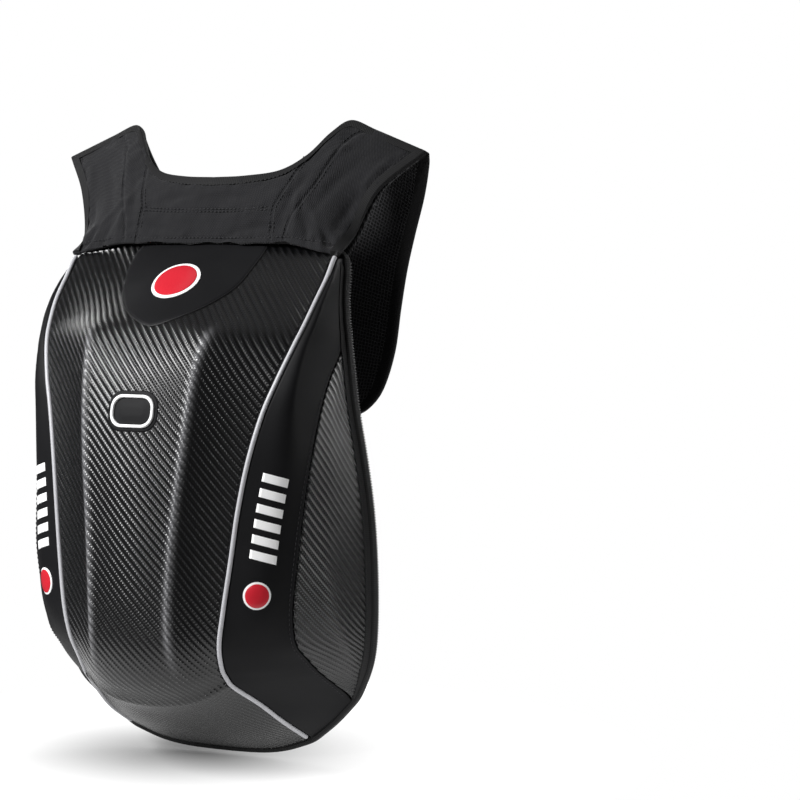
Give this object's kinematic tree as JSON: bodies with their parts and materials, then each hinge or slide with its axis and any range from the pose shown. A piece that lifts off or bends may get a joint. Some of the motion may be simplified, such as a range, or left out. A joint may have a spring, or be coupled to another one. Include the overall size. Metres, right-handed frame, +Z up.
{
  "type": "hard shell backpack",
  "caption": "Hard shell backpack with a carbon-look moulded front, side panels, zip rim, cloth back, woven yoke and padded shoulder straps.",
  "frame": {"origin": "centre of the back pad's face, where the pack rests on the wearer's back", "axes": "+Z up, +Y towards the wearer, the shell faces -Y, +X to the right of the pack seen from its shell side"},
  "size_m": [0.3828, 0.2793, 0.6009],
  "materials": {
    "carbon_panel": "semi-gloss, ribbed carbon weave look",
    "smooth_black": "smooth, matt",
    "woven_black": "woven nylon",
    "spacer_mesh": "open spacer mesh over foam",
    "pale_trim": "pale grey reflective",
    "webbing": "woven polyester tape",
    "black_plastic": "moulded, fine texture"
  },
  "bodies": {
    "root": {"back_pad": "spacer_mesh", "back_wall": "woven_black", "centre_plate": "pale_trim", "front_shell": "carbon_panel", "hang_loop": "webbing", "ladder_lock_left": "black_plastic", "ladder_lock_right": "black_plastic", "lower_web_left": "webbing", "lower_web_right": "webbing", "piping_left": "pale_trim", "piping_right": "pale_trim", "rim_binding": "webbing", "side_band_left": "smooth_black", "side_band_right": "smooth_black", "side_inset_left": "carbon_panel", "side_inset_right": "carbon_panel", "sternum_plug": "black_plastic", "sternum_slider_left": "black_plastic", "sternum_slider_right": "black_plastic", "sternum_socket": "black_plastic", "sternum_web_left": "webbing", "sternum_web_right": "webbing", "strap_pad_left": "spacer_mesh", "strap_pad_right": "spacer_mesh", "strap_tape_left": "webbing", "strap_tape_right": "webbing", "top_patch": "smooth_black", "yoke": "woven_black", "yoke_lining": "spacer_mesh"}
  },
  "joints": []
}
